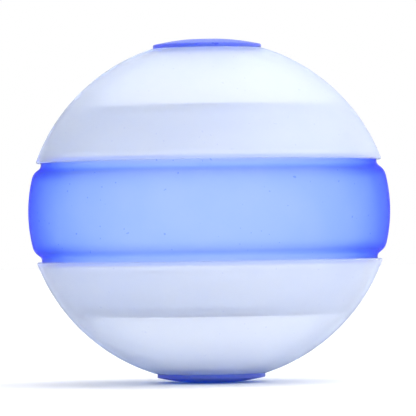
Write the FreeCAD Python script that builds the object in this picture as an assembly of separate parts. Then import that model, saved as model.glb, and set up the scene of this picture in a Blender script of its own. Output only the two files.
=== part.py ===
import FreeCAD, Part
import math
import os
from collections import namedtuple

# Ball-shaped nesting tableware set, in millimetres.
#
# Two identical bowls close on a bulged centre ring and make a ball.  A pair of identical deep plates
# nests in each bowl, and a snap-in cap covers the recess in each bowl's foot.  The lower half is the
# upper half turned over.  "Level" is a height above the mid-plane of the ring.  The ball stands on
# the flat of the lower cap: that flat's centre is the origin, and +Z runs up the ball's axis.

# Fits
clearance = 0.3  # gap between any two pieces

# Bowl
bowl_radius = 127.0  # outer spherical face
bowl_wall = 2.2
bowl_mouth_to_centre = 43.0  # rim plane down to the centre of the spherical face
foot_radius = 38.5  # outer edge of the foot, around the pole
foot_ring_width = 4.3  # between that edge and the foot's recess
foot_recess_depth = 2.0
foot_edge_round = 0.6

# Centre ring
ring_half_height = 34.0  # mid-plane to the rim of a bowl
ring_wall = 2.8
ring_bulge = 9.1  # how far the belly stands out from the neck
ring_belly_radius = 100.0
ring_spigot_height = 2.6  # end of the neck, inside the bowl
ring_seat_reach = 1.6  # how far the spigot runs in past the middle of the plates' rims
ring_neck_height = 1.0  # bare neck below the rim of a bowl
ring_shoulder_height = 10.0
ring_shoulder_thickening = 2.8  # how much nearer the mid-plane the shoulder is on the inner face
ring_shoulder_pull = 0.42  # how hard the ogee shoulder holds to the neck, as a share of its height
ring_belly_pull = 0.72  # how hard it holds to the belly

# Deep plates, two in each bowl
plate_wall = 1.6
plate_corner_radius = 8.0
pole_space = 40.5  # foot plane of the bowl to the base of the outer plate

# Foot caps
cap_setback = 1.2  # from the edge of the foot in to the edge of the cap
cap_skin = 2.0
cap_edge_height = 2.4
cap_edge_round = 0.5
cap_crown_radius = 167.0
cap_flat_radius = 16.0
cap_plug_wall = 2.0

# Levels and radii that follow from them
centre_level = ring_half_height - bowl_mouth_to_centre
foot_level = centre_level + math.sqrt(bowl_radius**2 - foot_radius**2)
recess_level = foot_level - foot_recess_depth
floor_level = recess_level - bowl_wall
spigot_level = ring_half_height + ring_spigot_height
plate_base_level = foot_level - pole_space
recess_radius = foot_radius - foot_ring_width
cap_radius = foot_radius - cap_setback
cap_plug_radius = recess_radius - clearance
cap_seat_level = foot_level + clearance
cap_edge_level = cap_seat_level + cap_edge_height

# How closely the shape is worked out
edge_match = 1e-3  # a circle this near a stated radius and level is the one meant
plate_rounds = 60  # rounds of the search for the angle of the plate's wall
first_wall_angle = math.radians(30)


def drop(radius, reach):
    """Depth of a circle's arc below its own top, at a distance from the axis."""
    return radius - math.sqrt(radius**2 - reach**2)


cap_crown_height = drop(cap_crown_radius, cap_radius) - drop(cap_crown_radius, cap_flat_radius)
cap_flat_level = cap_edge_level + cap_crown_height
ball_half_height = cap_flat_level


def point(radius, level):
    """A point of a half section, in the XZ plane."""
    return FreeCAD.Vector(radius, 0, level)


def line(start, end):
    return Part.LineSegment(start, end).toShape()


def arc(start, middle, end):
    return Part.Arc(start, middle, end).toShape()


def lathe(edges):
    """The solid that a closed half section makes about the Z axis."""
    wire = Part.Wire(Part.__sortEdges__(edges))
    solid = Part.Face(wire).revolve(FreeCAD.Vector(0, 0, 0), FreeCAD.Vector(0, 0, 1), 360)
    return solid if solid.Volume > 0 else solid.reversed()


def sphere_reach(radius, level):
    """Distance from the axis of a sphere about the bowl's centre, at a level."""
    return math.sqrt(radius**2 - (level - centre_level) ** 2)


def sphere_point(radius, angle):
    """A point of a sphere about the bowl's centre, at an angle above its equator."""
    return point(radius * math.cos(angle), centre_level + radius * math.sin(angle))


def sphere_arc(radius, start, end):
    """An arc of such a sphere between two angles."""
    middle = (start + end) / 2
    return arc(sphere_point(radius, start), sphere_point(radius, middle), sphere_point(radius, end))


def rounded(solid, radius, level, size):
    """The solid with the circular edges of this radius at this level rounded."""
    edges = [
        edge
        for edge in solid.Edges
        if isinstance(edge.Curve, Part.Circle)
        and abs(edge.Curve.Radius - radius) < edge_match
        and abs(edge.Curve.Center.z - level) < edge_match
    ]
    return solid.makeFillet(size, edges)


def make_bowl():
    """A spherical bowl, mouth down, with a round rim and a recessed foot."""
    inner_radius = bowl_radius - bowl_wall
    middle_radius = bowl_radius - bowl_wall / 2
    rim_centre_height = bowl_mouth_to_centre + bowl_wall / 2
    rim_angle = math.asin(rim_centre_height / middle_radius)
    foot_angle = math.asin((foot_level - centre_level) / bowl_radius)
    floor_angle = math.asin((floor_level - centre_level) / inner_radius)
    rim_centre = sphere_point(middle_radius, rim_angle)
    along_wall = FreeCAD.Vector(math.sin(rim_angle), 0, -math.cos(rim_angle))
    edges = [
        sphere_arc(bowl_radius, rim_angle, foot_angle),
        line(point(foot_radius, foot_level), point(recess_radius, foot_level)),
        line(point(recess_radius, foot_level), point(recess_radius, recess_level)),
        line(point(recess_radius, recess_level), point(0, recess_level)),
        line(point(0, recess_level), point(0, floor_level)),
        line(point(0, floor_level), sphere_point(inner_radius, floor_angle)),
        sphere_arc(inner_radius, floor_angle, rim_angle),
        arc(
            sphere_point(inner_radius, rim_angle),
            rim_centre + along_wall * (bowl_wall / 2),
            sphere_point(bowl_radius, rim_angle),
        ),
    ]
    return rounded(lathe(edges), foot_radius, foot_level, foot_edge_round)


def make_cap():
    """A shallow domed cap with a flat at its centre and a plug that enters the bowl's foot recess."""
    plug_level = recess_level + clearance
    plug_inner_radius = cap_plug_radius - cap_plug_wall
    crown_centre_level = cap_flat_level + drop(cap_crown_radius, cap_flat_radius) - cap_crown_radius

    def crown_point(radius, reach):
        return point(reach, crown_centre_level + math.sqrt(radius**2 - reach**2))

    def crown_arc(radius, start, end):
        middle = (start + end) / 2
        return arc(crown_point(radius, start), crown_point(radius, middle), crown_point(radius, end))

    under_radius = cap_crown_radius - cap_skin
    under_level = crown_point(under_radius, cap_flat_radius).z
    edges = [
        line(point(plug_inner_radius, plug_level), point(cap_plug_radius, plug_level)),
        line(point(cap_plug_radius, plug_level), point(cap_plug_radius, cap_seat_level)),
        line(point(cap_plug_radius, cap_seat_level), point(cap_radius, cap_seat_level)),
        line(point(cap_radius, cap_seat_level), point(cap_radius, cap_edge_level)),
        crown_arc(cap_crown_radius, cap_radius, cap_flat_radius),
        line(point(cap_flat_radius, cap_flat_level), point(0, cap_flat_level)),
        line(point(0, cap_flat_level), point(0, under_level)),
        line(point(0, under_level), point(cap_flat_radius, under_level)),
        crown_arc(under_radius, cap_flat_radius, plug_inner_radius),
        line(crown_point(under_radius, plug_inner_radius), point(plug_inner_radius, plug_level)),
    ]
    cap = lathe(edges)
    for level in (cap_seat_level, cap_edge_level):
        cap = rounded(cap, cap_radius, level, cap_edge_round)
    return cap


def make_ring():
    """A belly between two ogee shoulders, with a spigot at each end that enters a bowl.

    The spigot is thicker than the wall, and the rims of the plates rest on it.
    """
    spigot_radius = sphere_reach(bowl_radius - bowl_wall, spigot_level) - clearance
    seat_radius = plate_form().rim.x - ring_seat_reach
    inner_radius = spigot_radius - ring_wall

    def side(inset, thickening, end_level):
        """One face of the wall, this far in from the outer one, between both necks' end levels."""
        neck = spigot_radius - inset
        neck_level = ring_half_height - ring_neck_height - thickening
        shoulder_level = neck_level - ring_shoulder_height
        belly_radius = ring_belly_radius - inset
        belly_centre = spigot_radius + ring_bulge - ring_belly_radius
        belly_reach = belly_centre + math.sqrt(belly_radius**2 - shoulder_level**2)
        slope = shoulder_level / (belly_reach - belly_centre)
        belly_rise = ring_shoulder_height * ring_belly_pull
        pieces = []
        for end in (1, -1):
            shoulder = Part.BezierCurve()
            shoulder.setPoles(
                [
                    point(neck, end * neck_level),
                    point(neck, end * (neck_level - ring_shoulder_height * ring_shoulder_pull)),
                    point(belly_reach - slope * belly_rise, end * (shoulder_level + belly_rise)),
                    point(belly_reach, end * shoulder_level),
                ]
            )
            pieces.append(line(point(neck, end * end_level), point(neck, end * neck_level)))
            pieces.append(shoulder.toShape())
        upper_end = point(belly_reach, shoulder_level)
        lower_end = point(belly_reach, -shoulder_level)
        pieces.append(arc(upper_end, point(belly_centre + belly_radius, 0), lower_end))
        return pieces

    edges = side(0, 0, spigot_level)
    edges += side(ring_wall, ring_shoulder_thickening, ring_half_height)
    for end in (1, -1):
        seat = point(seat_radius, end * spigot_level)
        step = point(seat_radius, end * ring_half_height)
        edges.append(line(point(spigot_radius, end * spigot_level), seat))
        edges.append(line(seat, step))
        edges.append(line(step, point(inner_radius, end * ring_half_height)))
    return lathe(edges)


PlateForm = namedtuple("PlateForm", "corner rim angle length pitch")


def plate_form():
    """The form of the outer plate: corner's and rim's centres, wall's angle and length, nesting pitch.

    The corner and the rim both keep the clearance from the bowl.  The pitch at which the plates nest
    depends on the angle of the wall, and the angle on the pitch, so they are found in turn.
    """
    room = bowl_radius - bowl_wall - clearance
    corner_level = plate_base_level - plate_corner_radius
    corner_reach = sphere_reach(room - plate_corner_radius, corner_level)
    middle_radius = plate_corner_radius - plate_wall / 2
    angle = first_wall_angle
    for _ in range(plate_rounds):
        pitch = (plate_wall + clearance) / math.sin(angle)
        rim_level = spigot_level + clearance + pitch + plate_wall / 2
        rim_reach = sphere_reach(room - plate_wall / 2, rim_level)
        run = rim_reach - corner_reach
        fall = corner_level - rim_level
        distance = math.hypot(run, fall)
        angle = math.atan2(run, fall) - math.asin(middle_radius / distance)
    length = math.sqrt(distance**2 - middle_radius**2)
    corner = point(corner_reach, corner_level)
    return PlateForm(corner, point(rim_reach, rim_level), angle, length, pitch)


def make_plate(nesting):
    """A deep plate, mouth down, with a flat base, a straight flared wall and a round rim.

    nesting is how many plates lie between it and the bowl.
    """
    form = plate_form()
    nested = FreeCAD.Vector(0, 0, -nesting * form.pitch)
    corner = form.corner + nested
    rim_centre = form.rim + nested
    upwards = FreeCAD.Vector(0, 0, 1)
    across = FreeCAD.Vector(math.cos(form.angle), 0, math.sin(form.angle))
    down_wall = FreeCAD.Vector(math.sin(form.angle), 0, -math.cos(form.angle))
    bisector = (across + upwards).normalize()

    def face_of_wall(radius):
        """One face of the plate from the axis to the rim, by the radius of its corner."""
        top = point(0, corner.z + radius)
        end = corner + across * radius + down_wall * form.length
        turn = arc(corner + upwards * radius, corner + bisector * radius, corner + across * radius)
        edges = [line(top, corner + upwards * radius), turn, line(corner + across * radius, end)]
        return edges, top, end

    outer, outer_top, outer_end = face_of_wall(plate_corner_radius)
    inner, inner_top, inner_end = face_of_wall(plate_corner_radius - plate_wall)
    rim = arc(outer_end, rim_centre + down_wall * (plate_wall / 2), inner_end)
    return lathe(outer + inner + [rim, line(outer_top, inner_top)])


def placed(shape, upper):
    """The shape in the ball's frame, as drawn in the upper half or turned over into the lower one."""
    shape = shape.copy()
    if not upper:
        shape.rotate(FreeCAD.Vector(0, 0, 0), FreeCAD.Vector(1, 0, 0), 180)
    shape.translate(FreeCAD.Vector(0, 0, ball_half_height))
    return shape


def make_nodes():
    """Every piece of the set by its node's name."""
    halves = {
        "cap": make_cap(),
        "bowl": make_bowl(),
        "outer_plate": make_plate(0),
        "inner_plate": make_plate(1),
    }
    nodes = {"centre_ring": placed(make_ring(), True)}
    for half in ("lower", "upper"):
        for name, shape in halves.items():
            nodes[half + "_" + name] = placed(shape, half == "upper")
    return nodes


os.makedirs("parts", exist_ok=True)
for node, solid in make_nodes().items():
    solid.exportStep(os.path.join("parts", node + ".step"))
    box = solid.BoundBox
    print(
        "%-18s solids %d valid %s volume %9.1f  r %.2f  z %.2f..%.2f"
        % (node, len(solid.Solids), solid.isValid(), solid.Volume, box.XMax, box.ZMin, box.ZMax)
    )
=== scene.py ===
"""A ball of frosted tableware: two bowls, a blue centre ring, four nested plates and two caps."""

import logging
import math
from dataclasses import dataclass, field
from enum import Enum

import bmesh
import bpy
from mathutils import Matrix, Vector
from mathutils.geometry import interpolate_bezier


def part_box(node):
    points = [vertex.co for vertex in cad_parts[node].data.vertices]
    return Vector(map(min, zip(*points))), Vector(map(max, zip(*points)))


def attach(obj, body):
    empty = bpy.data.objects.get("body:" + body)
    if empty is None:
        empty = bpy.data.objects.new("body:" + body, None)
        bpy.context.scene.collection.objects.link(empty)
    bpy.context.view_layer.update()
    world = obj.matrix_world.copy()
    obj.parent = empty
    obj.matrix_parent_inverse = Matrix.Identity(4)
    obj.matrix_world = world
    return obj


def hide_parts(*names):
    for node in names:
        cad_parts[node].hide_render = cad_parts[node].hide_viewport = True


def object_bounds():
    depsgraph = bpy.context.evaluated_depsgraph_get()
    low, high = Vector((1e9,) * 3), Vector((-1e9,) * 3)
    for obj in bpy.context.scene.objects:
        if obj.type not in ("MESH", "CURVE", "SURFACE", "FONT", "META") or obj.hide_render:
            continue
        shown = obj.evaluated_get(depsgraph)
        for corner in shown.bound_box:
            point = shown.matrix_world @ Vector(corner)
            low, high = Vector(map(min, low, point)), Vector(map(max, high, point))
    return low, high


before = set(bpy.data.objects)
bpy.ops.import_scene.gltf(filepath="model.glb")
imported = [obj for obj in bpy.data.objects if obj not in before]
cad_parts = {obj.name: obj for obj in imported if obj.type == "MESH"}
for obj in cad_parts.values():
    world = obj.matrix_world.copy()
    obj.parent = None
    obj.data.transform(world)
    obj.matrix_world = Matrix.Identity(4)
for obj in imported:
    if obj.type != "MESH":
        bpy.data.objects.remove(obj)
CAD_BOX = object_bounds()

LOG = logging.getLogger("tableware_ball")
TURN_STEPS = 224
MERGE_DISTANCE = 1e-7
SHARP_ANGLE = math.radians(50)
ROUNDING_STEPS = 4
GRAIN_CELLS = 1300.0
RUB_CELLS = 60.0
RUB_STRETCH = (1.0, 1.0, 7.0)
RUB_SPAN = (0.3, 0.72)
CLOUD_CELLS = 38.0
CLOUD_SPAN = (0.35, 0.65)
SPECK_CELLS = 420.0
SPECK_SPAN = (0.82, 0.85)
UNSTRETCHED = (1.0, 1.0, 1.0)
WHITE = (1.0, 1.0, 1.0)

Colour = tuple[float, float, float]


class Half(Enum):
    """The half of the ball that a piece belongs to."""

    LOWER = "lower"
    UPPER = "upper"

    def node(self, piece: str) -> str:
        """Name of the CAD node of a piece in this half."""
        return f"{self.value}_{piece}"

    def placing(self, node: str) -> Matrix:
        """Find where a piece drawn foot up, on its lowest level, lies in the ball.

        Args:
            node: The CAD node that the piece stands for.

        Returns:
            A shift up to the node, or for the lower half a half turn about X and a shift.
        """
        low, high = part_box(node)
        if self is Half.UPPER:
            return Matrix.Translation(Vector((0, 0, low.z)))
        return Matrix.Translation(Vector((0, 0, high.z))) @ Matrix.Rotation(math.pi, 4, "X")


class Outline:
    """A half section in the XZ plane, drawn from a starting point by the vertex at its tip."""

    def __init__(self, reach: float, level: float) -> None:
        """Start at a distance from the axis and a level."""
        self.mesh = bmesh.new()
        self.first = self.mesh.verts.new((reach, 0, level))
        self.tip = self.first

    def line(self, reach: float, level: float, rounding: float = 0.0) -> "Outline":
        """Draw a straight line.

        Args:
            reach: Distance of its end from the axis.
            level: Level of its end.
            rounding: How far the corner at the line's start is cut back by a rounded edge.

        Returns:
            The outline.
        """
        corner = self.tip
        self.tip = bmesh.ops.extrude_vert_indiv(self.mesh, verts=[corner])["verts"][0]
        self.tip.co = (reach, 0, level)
        if rounding:
            bmesh.ops.bevel(
                self.mesh,
                geom=[corner],
                offset=rounding,
                offset_type="OFFSET",
                affect="VERTICES",
                segments=ROUNDING_STEPS,
                profile=0.5,
                material=-1,
            )
        return self

    def arc(self, centre: Vector, turn: float, steps: int) -> "Outline":
        """Draw an arc.

        Args:
            centre: Its centre, as distance from the axis and level.
            turn: Angle in radians, positive from up towards outwards.
            steps: How many edges it has.

        Returns:
            The outline.
        """
        made = bmesh.ops.spin(
            self.mesh,
            geom=[self.tip],
            cent=(centre.x, 0, centre.y),
            axis=(0, 1, 0),
            angle=turn,
            steps=steps,
        )
        self.tip = made["geom_last"][0]
        return self

    def bezier(self, handles: tuple[Vector, Vector], end: Vector, steps: int) -> "Outline":
        """Draw a curve.

        Args:
            handles: Its two handles, as distance from the axis and level.
            end: Its end, likewise.
            steps: How many edges it has.

        Returns:
            The outline.
        """
        start = Vector((self.tip.co.x, self.tip.co.z))
        for place in interpolate_bezier(start, handles[0], handles[1], end, steps + 1)[1:]:
            self.line(place.x, place.y)
        return self

    def close(self) -> "Outline":
        """Join the tip to the first point, and return the outline."""
        self.mesh.edges.new((self.tip, self.first))
        return self

    def spun(self, name: str, placing: Matrix) -> bpy.types.Object:
        """Spin the section once round the axis into a closed piece.

        Args:
            name: The piece's name.
            placing: Where the section's own frame lies in the ball.

        Returns:
            The new object, linked to the scene, at the origin.
        """
        bmesh.ops.remove_doubles(self.mesh, verts=self.mesh.verts[:], dist=MERGE_DISTANCE)
        bmesh.ops.spin(
            self.mesh,
            geom=self.mesh.verts[:] + self.mesh.edges[:],
            cent=(0, 0, 0),
            axis=(0, 0, 1),
            angle=math.tau,
            steps=TURN_STEPS,
            use_merge=True,
        )
        bmesh.ops.remove_doubles(self.mesh, verts=self.mesh.verts[:], dist=MERGE_DISTANCE)
        bmesh.ops.recalc_face_normals(self.mesh, faces=self.mesh.faces[:])
        bmesh.ops.transform(self.mesh, matrix=placing, verts=self.mesh.verts[:])
        data = bpy.data.meshes.new(name)
        self.mesh.to_mesh(data)
        self.mesh.free()
        data.shade_smooth()
        data.set_sharp_from_angle(angle=SHARP_ANGLE)
        piece = bpy.data.objects.new(name, data)
        bpy.context.scene.collection.objects.link(piece)
        return piece


def around(centre: Vector, radius: float, angle: float) -> Vector:
    """Point of a circle, as reach and level, at an angle from up towards outwards."""
    return centre + Vector((math.sin(angle), math.cos(angle))) * radius


class GroupBuilder:
    """A shader node group with named inputs and outputs, built once."""

    def __init__(self, name: str) -> None:
        """Start an empty group."""
        self.tree = bpy.data.node_groups.new(name, "ShaderNodeTree")
        self.entry = self.tree.nodes.new("NodeGroupInput")
        self.exit = self.tree.nodes.new("NodeGroupOutput")

    def socket(self, name: str, kind: str, is_output: bool = False) -> None:
        """Add a socket of a kind such as Float or Color to the group's interface."""
        direction = "OUTPUT" if is_output else "INPUT"
        self.tree.interface.new_socket(name=name, in_out=direction, socket_type=f"NodeSocket{kind}")

    def noise(
        self, scale: float, detail: float, stretch: tuple[float, float, float] = UNSTRETCHED
    ) -> bpy.types.NodeSocket:
        """Add a noise on Object coordinates.

        Args:
            scale: Cells in a metre.
            detail: Octaves of finer noise.
            stretch: How much closer the cells lie along each axis.

        Returns:
            The noise's value.
        """
        place = self.tree.nodes.new("ShaderNodeTexCoord")
        mapping = self.tree.nodes.new("ShaderNodeMapping")
        mapping.inputs["Scale"].default_value = stretch
        noise = self.tree.nodes.new("ShaderNodeTexNoise")
        noise.inputs["Scale"].default_value = scale
        noise.inputs["Detail"].default_value = detail
        self.tree.links.new(place.outputs["Object"], mapping.inputs["Vector"])
        self.tree.links.new(mapping.outputs["Vector"], noise.inputs["Vector"])
        return noise.outputs["Fac"]

    def spread(
        self,
        value: bpy.types.NodeSocket,
        span: tuple[float, float],
        low: bpy.types.NodeSocket | float,
        high: bpy.types.NodeSocket | float,
    ) -> bpy.types.NodeSocket:
        """Map a value's span smoothly on to the range between two others.

        Args:
            value: The value to map.
            span: The part of its range that counts.
            low: What the start of the span becomes.
            high: What its end becomes.

        Returns:
            The mapped value.
        """
        mapped = self.tree.nodes.new("ShaderNodeMapRange")
        mapped.interpolation_type = "SMOOTHSTEP"
        mapped.inputs["From Min"].default_value = span[0]
        mapped.inputs["From Max"].default_value = span[1]
        for name, end in (("To Min", low), ("To Max", high)):
            if isinstance(end, float):
                mapped.inputs[name].default_value = end
            else:
                self.tree.links.new(end, mapped.inputs[name])
        self.tree.links.new(value, mapped.inputs["Value"])
        return mapped.outputs["Result"]

    def blend(
        self,
        share: bpy.types.NodeSocket,
        first: bpy.types.NodeSocket,
        second: bpy.types.NodeSocket,
    ) -> bpy.types.NodeSocket:
        """Mix two colours.

        Args:
            share: How much of the second shows.
            first: The colour where the share is 0.
            second: The colour where it is 1.

        Returns:
            The mixed colour.
        """
        mix = self.tree.nodes.new("ShaderNodeMix")
        mix.data_type = "RGBA"
        self.tree.links.new(share, mix.inputs["Factor"])
        self.tree.links.new(first, mix.inputs["A"])
        self.tree.links.new(second, mix.inputs["B"])
        return mix.outputs["Result"]

    def give(self, value: bpy.types.NodeSocket, name: str) -> None:
        """Put a value out of the group."""
        self.tree.links.new(value, self.exit.inputs[name])


def moulded_surface() -> bpy.types.ShaderNodeTree:
    """Build the satin grain that a textured mould leaves, with the faint rub marks of stacking.

    Returns:
        A group with a roughness and a height.
    """
    group = GroupBuilder("moulded_surface")
    group.socket("Smoothest", "Float")
    group.socket("Roughest", "Float")
    group.socket("Roughness", "Float", is_output=True)
    group.socket("Height", "Float", is_output=True)
    grain = group.noise(GRAIN_CELLS, detail=2.0)
    rubbed = group.noise(RUB_CELLS, detail=5.0, stretch=RUB_STRETCH)
    smoothest = group.entry.outputs["Smoothest"]
    roughest = group.entry.outputs["Roughest"]
    group.give(group.spread(rubbed, RUB_SPAN, smoothest, roughest), "Roughness")
    group.give(grain, "Height")
    return group.tree


def clouded_tint() -> bpy.types.ShaderNodeTree:
    """Build the uneven tint of moulded plastic, with a few small specks of pigment.

    Returns:
        A group with a colour.
    """
    group = GroupBuilder("clouded_tint")
    for name in ("Light Tone", "Deep Tone", "Speck Tone"):
        group.socket(name, "Color")
    group.socket("Color", "Color", is_output=True)
    cloud = group.spread(group.noise(CLOUD_CELLS, detail=3.0), CLOUD_SPAN, 0.0, 1.0)
    specks = group.spread(group.noise(SPECK_CELLS, detail=0.0), SPECK_SPAN, 0.0, 1.0)
    tint = group.blend(cloud, group.entry.outputs["Light Tone"], group.entry.outputs["Deep Tone"])
    group.give(group.blend(specks, tint, group.entry.outputs["Speck Tone"]), "Color")
    return group.tree


@dataclass(frozen=True)
class FrostedPlastic:
    """A frosted see-through plastic, whose colour deepens with the thickness that light crosses.

    Its refraction is kept well under that of solid plastic, which stands in for haze inside it.
    """

    name: str
    slot: str
    light_tone: Colour
    deep_tone: Colour
    speck_tone: Colour
    absorbed_per_metre: Colour
    smoothest: float
    roughest: float
    clearness: float
    refraction: float
    grain_depth: float

    def material(
        self, surface: bpy.types.ShaderNodeTree, tint: bpy.types.ShaderNodeTree
    ) -> bpy.types.Material:
        """Build the material.

        Args:
            surface: The group for grain and roughness.
            tint: The group for the uneven colour.

        Returns:
            The new material.
        """
        material = bpy.data.materials.new(self.name)
        material.use_nodes = True
        tree = material.node_tree
        shader = tree.nodes["Principled BSDF"]
        shader.inputs["Metallic"].default_value = 0.0
        shader.inputs["IOR"].default_value = self.refraction
        shader.inputs["Transmission Weight"].default_value = self.clearness

        tones = tree.nodes.new("ShaderNodeGroup")
        tones.node_tree = tint
        tones.inputs["Light Tone"].default_value = (*self.light_tone, 1.0)
        tones.inputs["Deep Tone"].default_value = (*self.deep_tone, 1.0)
        tones.inputs["Speck Tone"].default_value = (*self.speck_tone, 1.0)
        tree.links.new(tones.outputs["Color"], shader.inputs["Base Color"])

        moulded = tree.nodes.new("ShaderNodeGroup")
        moulded.node_tree = surface
        moulded.inputs["Smoothest"].default_value = self.smoothest
        moulded.inputs["Roughest"].default_value = self.roughest
        tree.links.new(moulded.outputs["Roughness"], shader.inputs["Roughness"])
        bump = tree.nodes.new("ShaderNodeBump")
        bump.inputs["Distance"].default_value = self.grain_depth
        tree.links.new(moulded.outputs["Height"], bump.inputs["Height"])
        tree.links.new(bump.outputs["Normal"], shader.inputs["Normal"])

        most = max(self.absorbed_per_metre)
        kept = tuple(1.0 - share / most for share in self.absorbed_per_metre)
        depth = tree.nodes.new("ShaderNodeVolumeAbsorption")
        depth.inputs["Color"].default_value = (*kept, 1.0)
        depth.inputs["Density"].default_value = most
        tree.links.new(depth.outputs["Volume"], tree.nodes["Material Output"].inputs["Volume"])
        return material


class Finish(Enum):
    """The four plastics of the set."""

    BOWL = FrostedPlastic(
        name="frosted_clear_bowl",
        slot="frosted_bowl",
        light_tone=(0.965, 0.977, 1.0),
        deep_tone=(0.943, 0.959, 0.997),
        speck_tone=(0.84, 0.86, 0.95),
        absorbed_per_metre=(22.0, 14.0, 0.5),
        smoothest=0.48,
        roughest=0.58,
        clearness=0.82,
        refraction=1.1,
        grain_depth=0.00001,
    )
    PLATE = FrostedPlastic(
        name="frosted_clear_plate",
        slot="frosted_plate",
        light_tone=(0.98, 0.987, 1.0),
        deep_tone=(0.96, 0.972, 0.995),
        speck_tone=(0.92, 0.94, 0.98),
        absorbed_per_metre=(6.0, 3.8, 0.3),
        smoothest=0.42,
        roughest=0.52,
        clearness=0.93,
        refraction=1.1,
        grain_depth=0.00001,
    )
    RING = FrostedPlastic(
        name="frosted_blue_ring",
        slot="blue_ring",
        light_tone=(0.95, 0.97, 1.0),
        deep_tone=(0.9, 0.94, 1.0),
        speck_tone=(0.5, 0.6, 0.9),
        absorbed_per_metre=(164.0, 110.0, 2.0),
        smoothest=0.45,
        roughest=0.55,
        clearness=0.985,
        refraction=1.07,
        grain_depth=0.00002,
    )
    CAP = FrostedPlastic(
        name="frosted_blue_cap",
        slot="blue_cap",
        light_tone=(0.6, 0.73, 1.0),
        deep_tone=(0.53, 0.67, 1.0),
        speck_tone=(0.3, 0.4, 0.9),
        absorbed_per_metre=(800.0, 230.0, 1.5),
        smoothest=0.4,
        roughest=0.5,
        clearness=0.78,
        refraction=1.15,
        grain_depth=0.00002,
    )


class Dresser:
    """Gives each piece its finish, and ties it to its CAD node and body."""

    def __init__(self) -> None:
        """Build the four materials from the two shared groups."""
        surface = moulded_surface()
        tint = clouded_tint()
        self.materials = {finish: finish.value.material(surface, tint) for finish in Finish}

    def dress(self, piece: bpy.types.Object, node: str, finish: Finish) -> None:
        """Finish a piece.

        Args:
            piece: The new piece.
            node: The CAD node that it stands for, whose body has the same name.
            finish: Its plastic.
        """
        piece.data.materials.append(self.materials[finish])
        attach(piece, node)
        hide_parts(node)
        LOG.info("%s: %d faces, %s", piece.name, len(piece.data.polygons), finish.value.name)


@dataclass
class Bowl:
    """A spherical bowl with a round rim and a recessed foot, drawn mouth down."""

    half: Half
    sphere_radius: float = 0.127
    wall: float = 0.0022
    foot_radius: float = 0.0385
    recess_radius: float = 0.0342
    recess_depth: float = 0.002
    corner_round: float = 0.0004
    face_steps: int = 44
    rim_steps: int = 10

    def build(self) -> bpy.types.Object:
        """Draw the section between its CAD node's levels and spin it.

        Returns:
            The bowl.
        """
        node = self.half.node("bowl")
        low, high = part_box(node)
        foot = high.z - low.z
        centre = Vector((0, foot - math.sqrt(self.sphere_radius**2 - self.foot_radius**2)))
        inner_radius = self.sphere_radius - self.wall
        middle_radius = self.sphere_radius - self.wall / 2
        rim_angle = math.acos((self.wall / 2 - centre.y) / middle_radius)
        foot_angle = math.asin(self.foot_radius / self.sphere_radius)
        floor = foot - self.recess_depth - self.wall
        floor_angle = math.acos((floor - centre.y) / inner_radius)
        foot_edge = around(centre, self.sphere_radius, foot_angle)
        floor_edge = around(centre, inner_radius, floor_angle)
        outline = Outline(0, foot - self.recess_depth)
        outline.line(self.recess_radius, foot - self.recess_depth)
        outline.line(self.recess_radius, foot, self.corner_round)
        outline.line(foot_edge.x, foot, self.corner_round)
        outline.arc(centre, rim_angle - foot_angle, self.face_steps)
        outline.arc(around(centre, middle_radius, rim_angle), math.pi, self.rim_steps)
        outline.arc(centre, floor_angle - rim_angle, self.face_steps)
        outline.line(0, floor_edge.y)
        return outline.spun(f"{node}_shell", self.half.placing(node))


@dataclass
class Plate:
    """A deep plate with a flat base, a flared wall and a round rim, drawn mouth down."""

    half: Half
    place: str
    wall: float = 0.0016
    base_radius: float = 0.0912
    corner_radius: float = 0.008
    corner_steps: int = 12
    rim_steps: int = 8

    def build(self) -> bpy.types.Object:
        """Draw the section between its CAD node's levels and spin it.

        Returns:
            The plate.
        """
        node = self.half.node(self.place)
        low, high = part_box(node)
        height = high.z - low.z
        corner = Vector((self.base_radius, height - self.corner_radius))
        rim = Vector((min(high.x, high.y) - self.wall / 2, self.wall / 2))
        slant = rim - corner
        middle_radius = self.corner_radius - self.wall / 2
        lean = math.atan2(slant.x, -slant.y) - math.asin(middle_radius / slant.length)
        turn = math.pi / 2 - lean
        inner_radius = self.corner_radius - self.wall
        outer_end = around(rim, self.wall / 2, turn)
        outline = Outline(0, height)
        outline.line(self.base_radius, height)
        outline.arc(corner, turn, self.corner_steps)
        outline.line(outer_end.x, outer_end.y)
        outline.arc(rim, math.pi, self.rim_steps)
        inner_end = around(corner, inner_radius, turn)
        outline.line(inner_end.x, inner_end.y)
        outline.arc(corner, -turn, self.corner_steps)
        outline.line(0, height - self.wall)
        return outline.spun(f"{node}_shell", self.half.placing(node))


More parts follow.
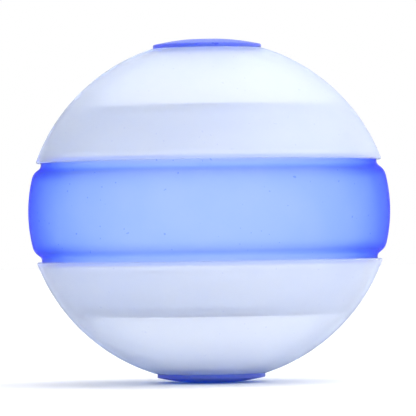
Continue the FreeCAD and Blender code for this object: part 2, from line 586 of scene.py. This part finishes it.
@dataclass
class FootCap:
    """A shallow domed cap with a flat and a moulding dimple at its centre, and a plug below."""

    half: Half
    radius: float = 0.0373
    skin: float = 0.002
    edge_round: float = 0.0005
    crown_radius: float = 0.167
    flat_radius: float = 0.016
    dimple_radius: float = 0.0016
    dimple_depth: float = 0.0004
    plug_radius: float = 0.0339
    plug_wall: float = 0.002
    plug_height: float = 0.002
    plug_round: float = 0.0003
    crown_steps: int = 14

    def build(self) -> bpy.types.Object:
        """Draw the section between its CAD node's levels and spin it.

        Returns:
            The cap.
        """
        node = self.half.node("cap")
        low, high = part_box(node)
        top = high.z - low.z
        centre = Vector((0, top - math.sqrt(self.crown_radius**2 - self.flat_radius**2)))
        edge_angle = math.asin(self.radius / self.crown_radius)
        flat_angle = math.asin(self.flat_radius / self.crown_radius)
        under_radius = self.crown_radius - self.skin
        plug_inner = self.plug_radius - self.plug_wall
        plug_angle = math.asin(plug_inner / under_radius)
        under_flat = around(centre, under_radius, flat_angle)
        rest = around(centre, self.crown_radius, edge_angle)
        outline = Outline(0, top - self.dimple_depth)
        outline.line(self.dimple_radius, top - self.dimple_depth)
        outline.line(self.dimple_radius + self.dimple_depth, top)
        outline.line(self.flat_radius, top)
        outline.arc(centre, edge_angle - flat_angle, self.crown_steps)
        outline.line(rest.x, self.plug_height, self.edge_round)
        outline.line(self.plug_radius, self.plug_height, self.edge_round)
        outline.line(self.plug_radius, 0)
        outline.line(plug_inner, 0, self.plug_round)
        under_edge = around(centre, under_radius, plug_angle)
        outline.line(under_edge.x, under_edge.y, self.plug_round)
        outline.arc(centre, flat_angle - plug_angle, self.crown_steps)
        outline.line(0, under_flat.y)
        return outline.spun(f"{node}_shell", self.half.placing(node))


@dataclass
class CentreRing:
    """The bulged ring: a belly between two ogee shoulders, with a thicker spigot at each end."""

    node: str = "centre_ring"
    wall: float = 0.0028
    bulge: float = 0.0091
    belly_radius: float = 0.1
    rim_gap: float = 0.0026
    seat_radius: float = 0.11144
    neck_height: float = 0.001
    shoulder_height: float = 0.01
    shoulder_pull: float = 0.42
    belly_pull: float = 0.72
    shoulder_thickening: float = 0.0028
    edge_round: float = 0.0004
    shoulder_steps: int = 16
    belly_steps: int = 20

    def shoulder(
        self, inset: float, thickening: float
    ) -> tuple[Vector, tuple[Vector, Vector], Vector, Vector]:
        """Work out the upper shoulder of one face of the wall.

        Args:
            inset: How far the face lies inside the outer one.
            thickening: How much nearer the ring's middle its shoulder is.

        Returns:
            The shoulder's start on the neck, its handles and end, and the belly's centre.
        """
        low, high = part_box(self.node)
        belly_reach = min(high.x, high.y)
        spigot_level = (high.z - low.z) / 2
        neck_level = spigot_level - self.rim_gap - self.neck_height - thickening
        neck = Vector((belly_reach - self.bulge - inset, neck_level))
        centre = Vector((belly_reach - self.belly_radius, 0))
        radius = self.belly_radius - inset
        level = neck.y - self.shoulder_height
        end = centre + Vector((math.sqrt(radius**2 - level**2), level))
        rise = self.shoulder_height * self.belly_pull
        along_belly = Vector((-level / (end.x - centre.x), 1)) * rise
        down_neck = Vector((0, -self.shoulder_height * self.shoulder_pull))
        return neck, (neck + down_neck, end + along_belly), end, centre

    def face(self, outline: Outline, inset: float, thickening: float, side: int) -> None:
        """Draw one face of the wall from neck to neck.

        Args:
            outline: The outline, whose tip is on the first neck's line.
            inset: How far the face lies inside the outer one.
            thickening: How much nearer the ring's middle its shoulders are.
            side: 1 to draw from the upper neck down, -1 from the lower neck up.
        """
        neck, handles, end, centre = self.shoulder(inset, thickening)
        flip = Vector((1, side))
        mirror = Vector((1, -side))
        belly_turn = 2 * math.asin(end.y / (end - centre).length)
        outline.line(neck.x, side * neck.y)
        outline.bezier((handles[0] * flip, handles[1] * flip), end * flip, self.shoulder_steps)
        outline.arc(centre, side * belly_turn, self.belly_steps)
        back = (handles[1] * mirror, handles[0] * mirror)
        outline.bezier(back, neck * mirror, self.shoulder_steps)

    def build(self) -> bpy.types.Object:
        """Draw the section between its CAD node's levels and spin it.

        Returns:
            The ring.
        """
        low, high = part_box(self.node)
        middle = Matrix.Translation(Vector((0, 0, (low.z + high.z) / 2)))
        top = (high.z - low.z) / 2
        step = top - self.rim_gap
        neck = self.shoulder(0.0, 0.0)[0].x
        outline = Outline(self.seat_radius, step)
        outline.line(self.seat_radius, top)
        outline.line(neck, top, self.edge_round)
        outline.line(neck, step, self.edge_round)
        self.face(outline, 0.0, 0.0, 1)
        outline.line(neck, -top)
        outline.line(self.seat_radius, -top, self.edge_round)
        outline.line(self.seat_radius, -step, self.edge_round)
        outline.line(neck - self.wall, -step)
        self.face(outline, self.wall, self.shoulder_thickening, -1)
        outline.line(neck - self.wall, step)
        outline.close()
        return outline.spun(f"{self.node}_shell", middle)


@dataclass
class Softbox:
    """A square area light aimed at the ball."""

    name: str
    place: Vector
    side: float
    power: float

    def build(self, target: Vector) -> None:
        """Make the light, facing a target."""
        data = bpy.data.lights.new(self.name, "AREA")
        data.shape = "SQUARE"
        data.size = self.side
        data.energy = self.power
        light = bpy.data.objects.new(self.name, data)
        light.location = self.place
        light.rotation_euler = (target - self.place).to_track_quat("-Z", "Y").to_euler()
        bpy.context.scene.collection.objects.link(light)


@dataclass
class SkyLight:
    """A very soft sun that lights the floor evenly."""

    name: str
    heading: Vector
    spread: float
    power: float

    def build(self) -> None:
        """Make the light, coming from its heading."""
        data = bpy.data.lights.new(self.name, "SUN")
        data.angle = self.spread
        data.energy = self.power
        light = bpy.data.objects.new(self.name, data)
        light.rotation_euler = self.heading.to_track_quat("Z", "Y").to_euler()
        bpy.context.scene.collection.objects.link(light)


@dataclass
class Studio:
    """A pale floor, white surroundings, soft lights and a long lens at the ball's own height."""

    floor_radius: float = 12.0
    floor_sides: int = 96
    floor_gap: float = 0.0002
    floor_tone: Colour = (0.93, 0.93, 0.935)
    floor_roughness: float = 0.9
    floor_shine: float = 0.1
    seen_surround: float = 1.0
    dim_surround: float = 0.66
    bright_surround: float = 1.28
    bright_side: Vector = field(default_factory=lambda: Vector((0.8, 0.55, 0.25)))
    camera_distance: float = 3.0
    eye_drop: float = 0.02
    framing: Vector = field(default_factory=lambda: Vector((-0.0008, 0, 0.002)))
    lens: float = 376.0
    sensor: float = 36.0
    clip_end: float = 48.0
    roll: float = math.radians(0.8)
    bounces: int = 32
    softboxes: list[Softbox] = field(
        default_factory=lambda: [
            Softbox("softbox_right", Vector((1.5, -0.5, 0.7)), 1.1, 9.0),
            Softbox("softbox_above", Vector((0.2, 0.1, 1.7)), 1.2, 4.0),
        ]
    )
    overhead: SkyLight = field(
        default_factory=lambda: SkyLight("overhead", Vector((0.25, 0.2, 1)), 1.2, 1.0)
    )

    def floor(self) -> None:
        """Make the floor just under the ball."""
        mesh = bmesh.new()
        level = Matrix.Translation(Vector((0, 0, CAD_BOX[0].z - self.floor_gap)))
        bmesh.ops.create_circle(
            mesh,
            cap_ends=True,
            segments=self.floor_sides,
            radius=self.floor_radius,
            matrix=level,
        )
        data = bpy.data.meshes.new("floor")
        mesh.to_mesh(data)
        mesh.free()
        material = bpy.data.materials.new("matt_white_floor")
        material.use_nodes = True
        shader = material.node_tree.nodes["Principled BSDF"]
        shader.inputs["Base Color"].default_value = (*self.floor_tone, 1.0)
        shader.inputs["Roughness"].default_value = self.floor_roughness
        shader.inputs["Specular IOR Level"].default_value = self.floor_shine
        data.materials.append(material)
        floor = bpy.data.objects.new("floor", data)
        bpy.context.scene.collection.objects.link(floor)

    def surroundings(self) -> None:
        """Make surroundings that look white, and light the ball more from its right and behind."""
        world = bpy.data.worlds.new("white_surround")
        world.use_nodes = True
        tree = world.node_tree
        place = tree.nodes.new("ShaderNodeTexCoord")
        across = tree.nodes.new("ShaderNodeVectorMath")
        across.operation = "DOT_PRODUCT"
        across.inputs[1].default_value = self.bright_side.normalized()
        sweep = tree.nodes.new("ShaderNodeMapRange")
        sweep.inputs["From Min"].default_value = -1.0
        sweep.inputs["To Min"].default_value = self.dim_surround
        sweep.inputs["To Max"].default_value = self.bright_surround
        path = tree.nodes.new("ShaderNodeLightPath")
        strength = tree.nodes.new("ShaderNodeMix")
        strength.inputs["B"].default_value = self.seen_surround
        background = tree.nodes["Background"]
        background.inputs["Color"].default_value = (*WHITE, 1.0)
        tree.links.new(place.outputs["Generated"], across.inputs[0])
        tree.links.new(across.outputs["Value"], sweep.inputs["Value"])
        tree.links.new(sweep.outputs["Result"], strength.inputs["A"])
        tree.links.new(path.outputs["Is Camera Ray"], strength.inputs["Factor"])
        tree.links.new(strength.outputs["Result"], background.inputs["Strength"])
        bpy.context.scene.world = world

    def camera(self, target: Vector) -> None:
        """Make the camera, a little below the ball's middle and slightly rolled."""
        data = bpy.data.cameras.new("camera")
        data.lens = self.lens
        data.sensor_width = self.sensor
        data.clip_end = self.clip_end
        camera = bpy.data.objects.new("camera", data)
        place = target + Vector((0, -self.camera_distance, -self.eye_drop))
        aim = (target + self.framing - place).to_track_quat("-Z", "Y").to_matrix().to_4x4()
        camera.matrix_world = Matrix.Translation(place) @ aim @ Matrix.Rotation(-self.roll, 4, "Z")
        bpy.context.scene.collection.objects.link(camera)
        bpy.context.scene.camera = camera

    def build(self) -> None:
        """Set the whole stage round the ball."""
        target = (CAD_BOX[0] + CAD_BOX[1]) / 2
        scene = bpy.context.scene
        scene.view_settings.view_transform = "Standard"
        scene.cycles.max_bounces = self.bounces
        scene.cycles.transmission_bounces = self.bounces
        self.floor()
        self.surroundings()
        self.camera(target)
        self.overhead.build()
        for softbox in self.softboxes:
            softbox.build(target)


@dataclass
class TablewareBall:
    """The whole set, built from the foot up in each half."""

    dresser: Dresser

    def build(self) -> None:
        """Build and dress every piece."""
        for half in Half:
            self.dresser.dress(FootCap(half).build(), half.node("cap"), Finish.CAP)
            self.dresser.dress(Bowl(half).build(), half.node("bowl"), Finish.BOWL)
            for place in ("outer_plate", "inner_plate"):
                plate = Plate(half, place).build()
                self.dresser.dress(plate, half.node(place), Finish.PLATE)
        ring = CentreRing()
        self.dresser.dress(ring.build(), ring.node, Finish.RING)


def main() -> None:
    """Build the set and its studio."""
    logging.basicConfig(level=logging.INFO)
    TablewareBall(Dresser()).build()
    Studio().build()


if __name__ == "__main__":
    main()
